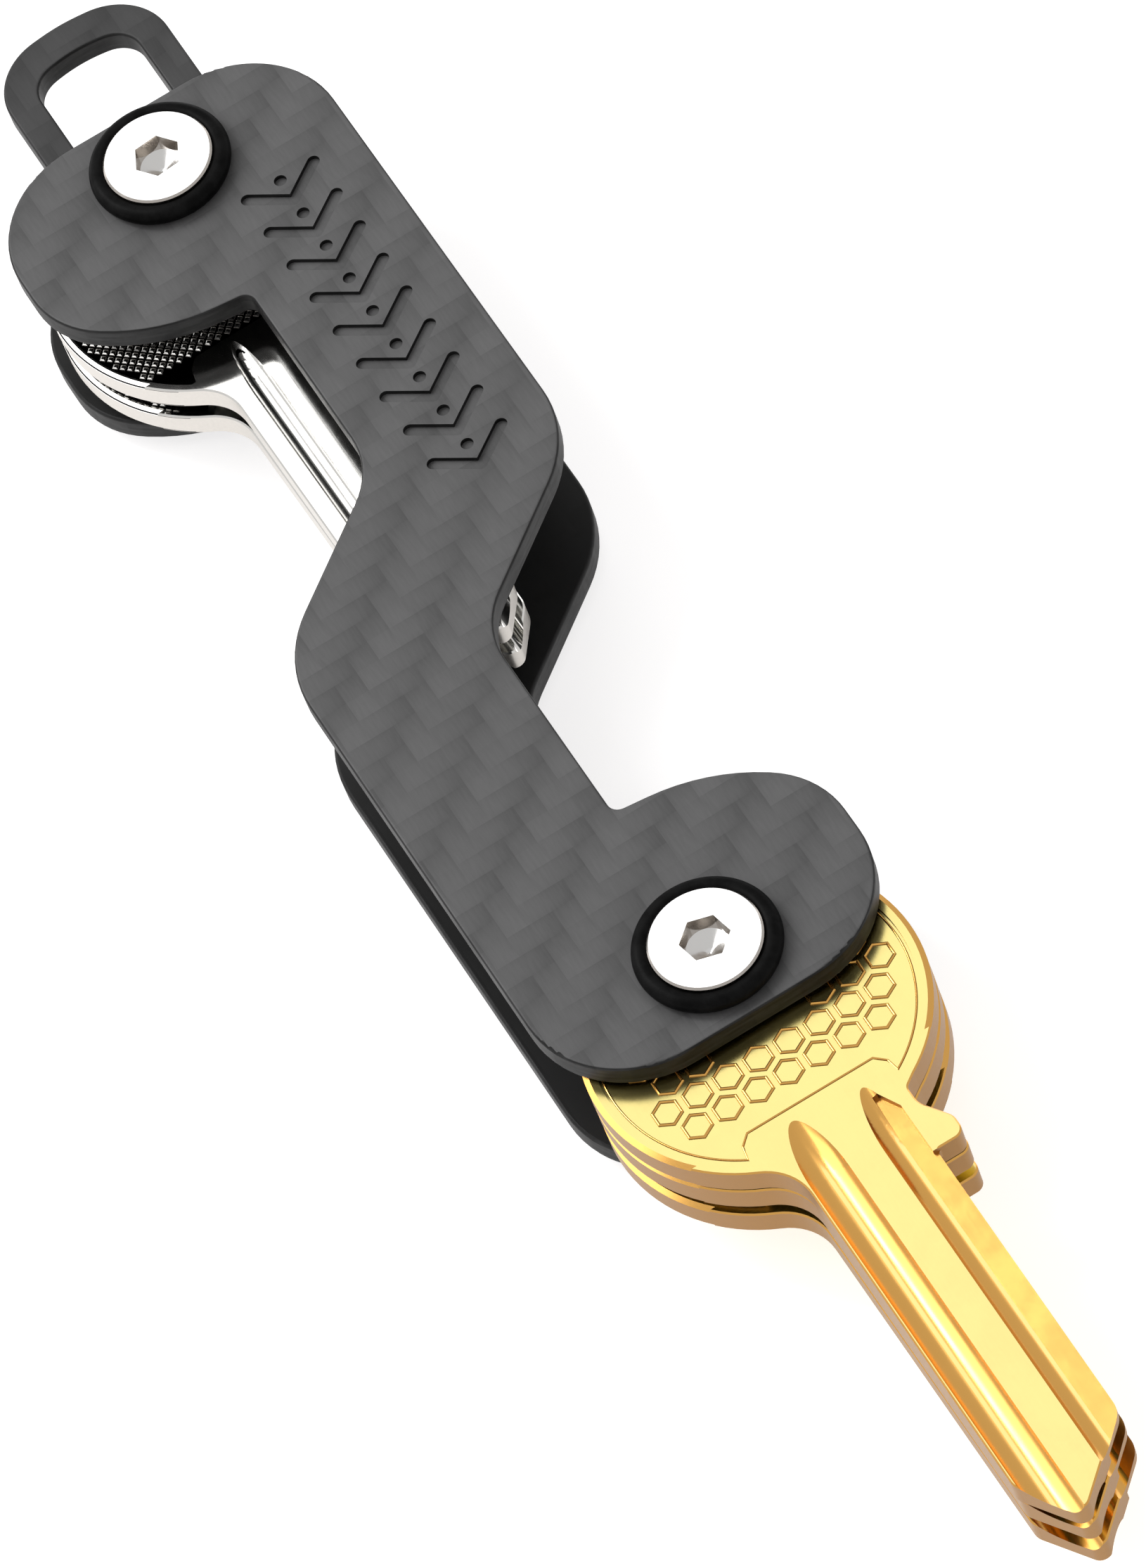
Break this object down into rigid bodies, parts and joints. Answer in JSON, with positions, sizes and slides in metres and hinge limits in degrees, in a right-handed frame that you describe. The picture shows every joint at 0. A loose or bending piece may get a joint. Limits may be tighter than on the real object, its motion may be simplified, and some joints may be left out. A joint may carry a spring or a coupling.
{
  "type": "key organiser",
  "caption": "Pocket key organiser with two Z-shaped carbon plates on barrel screws, flat keys that swing out from between them, and a swivelling key-ring loop.",
  "frame": {"origin": "on the loop-end pivot axis, in the plane of the rear screw heads' outer faces, at the mouth of the loop-end rear hex socket", "axes": "+X from the loop-end pivot to the key-end pivot, +Z along the pivot axes from the rear plate to the front plate"},
  "size_m": [0.1575, 0.0274, 0.0176],
  "materials": {
    "carbon": "matt carbon-fibre laminate with a 2x2 twill, darker cut edges",
    "screw_metal": "bright polished stainless steel",
    "barrel_metal": "turned",
    "ring_rubber": "satin black rubber",
    "washer_metal": "plain stamped steel",
    "nickel": "bright nickel plate on brass",
    "gold": "gold anodised aluminium, satin with bright milled grooves"
  },
  "bodies": {
    "frame": {"front_plate": "carbon", "rear_plate": "carbon", "loop_end_barrel": "barrel_metal", "key_end_barrel": "barrel_metal", "loop_end_front_screw": "screw_metal", "loop_end_rear_screw": "screw_metal", "key_end_front_screw": "screw_metal", "key_end_rear_screw": "screw_metal", "loop_end_front_o_ring": "ring_rubber", "loop_end_rear_o_ring": "ring_rubber", "key_end_front_o_ring": "ring_rubber", "key_end_rear_o_ring": "ring_rubber", "loop_front_washer": "washer_metal", "loop_rear_washer": "washer_metal", "silver_key_washer": "washer_metal", "loop_end_spacer_lower": "washer_metal", "loop_end_spacer_upper": "washer_metal", "gold_front_washer": "washer_metal", "gold_upper_washer": "washer_metal", "gold_lower_washer": "washer_metal", "key_end_spacer_lower": "washer_metal", "key_end_spacer_upper": "washer_metal"},
    "loop": {"key_ring_loop": "carbon"},
    "silver_upper": {"silver_key_upper": "nickel"},
    "silver_lower": {"silver_key_lower": "nickel"},
    "gold_top": {"gold_key_top": "gold"},
    "gold_middle": {"gold_key_middle": "gold"},
    "gold_bottom": {"gold_key_bottom": "gold"}
  },
  "joints": [
    {"name": "loop_swivel", "type": "hinge", "parent": "frame", "child": "loop", "pos_m": [0, 0, 0.0088], "axis": [0, 0, 1], "range_deg": [-90, 90]},
    {"name": "silver_upper_fold", "type": "hinge", "parent": "frame", "child": "silver_upper", "pos_m": [0, 0, 0.0088], "axis": [0, 0, 1], "range_deg": [-180, 180]},
    {"name": "silver_lower_fold", "type": "hinge", "parent": "frame", "child": "silver_lower", "pos_m": [0, 0, 0.0088], "axis": [0, 0, 1], "range_deg": [-180, 180]},
    {"name": "gold_top_fold", "type": "hinge", "parent": "frame", "child": "gold_top", "pos_m": [0.0857, 0, 0.0088], "axis": [0, 0, 1], "range_deg": [-180, 180]},
    {"name": "gold_middle_fold", "type": "hinge", "parent": "frame", "child": "gold_middle", "pos_m": [0.0857, 0, 0.0088], "axis": [0, 0, 1], "range_deg": [-165, 165]},
    {"name": "gold_bottom_fold", "type": "hinge", "parent": "frame", "child": "gold_bottom", "pos_m": [0.0857, 0, 0.0088], "axis": [0, 0, 1], "range_deg": [-165, 165]}
  ]
}
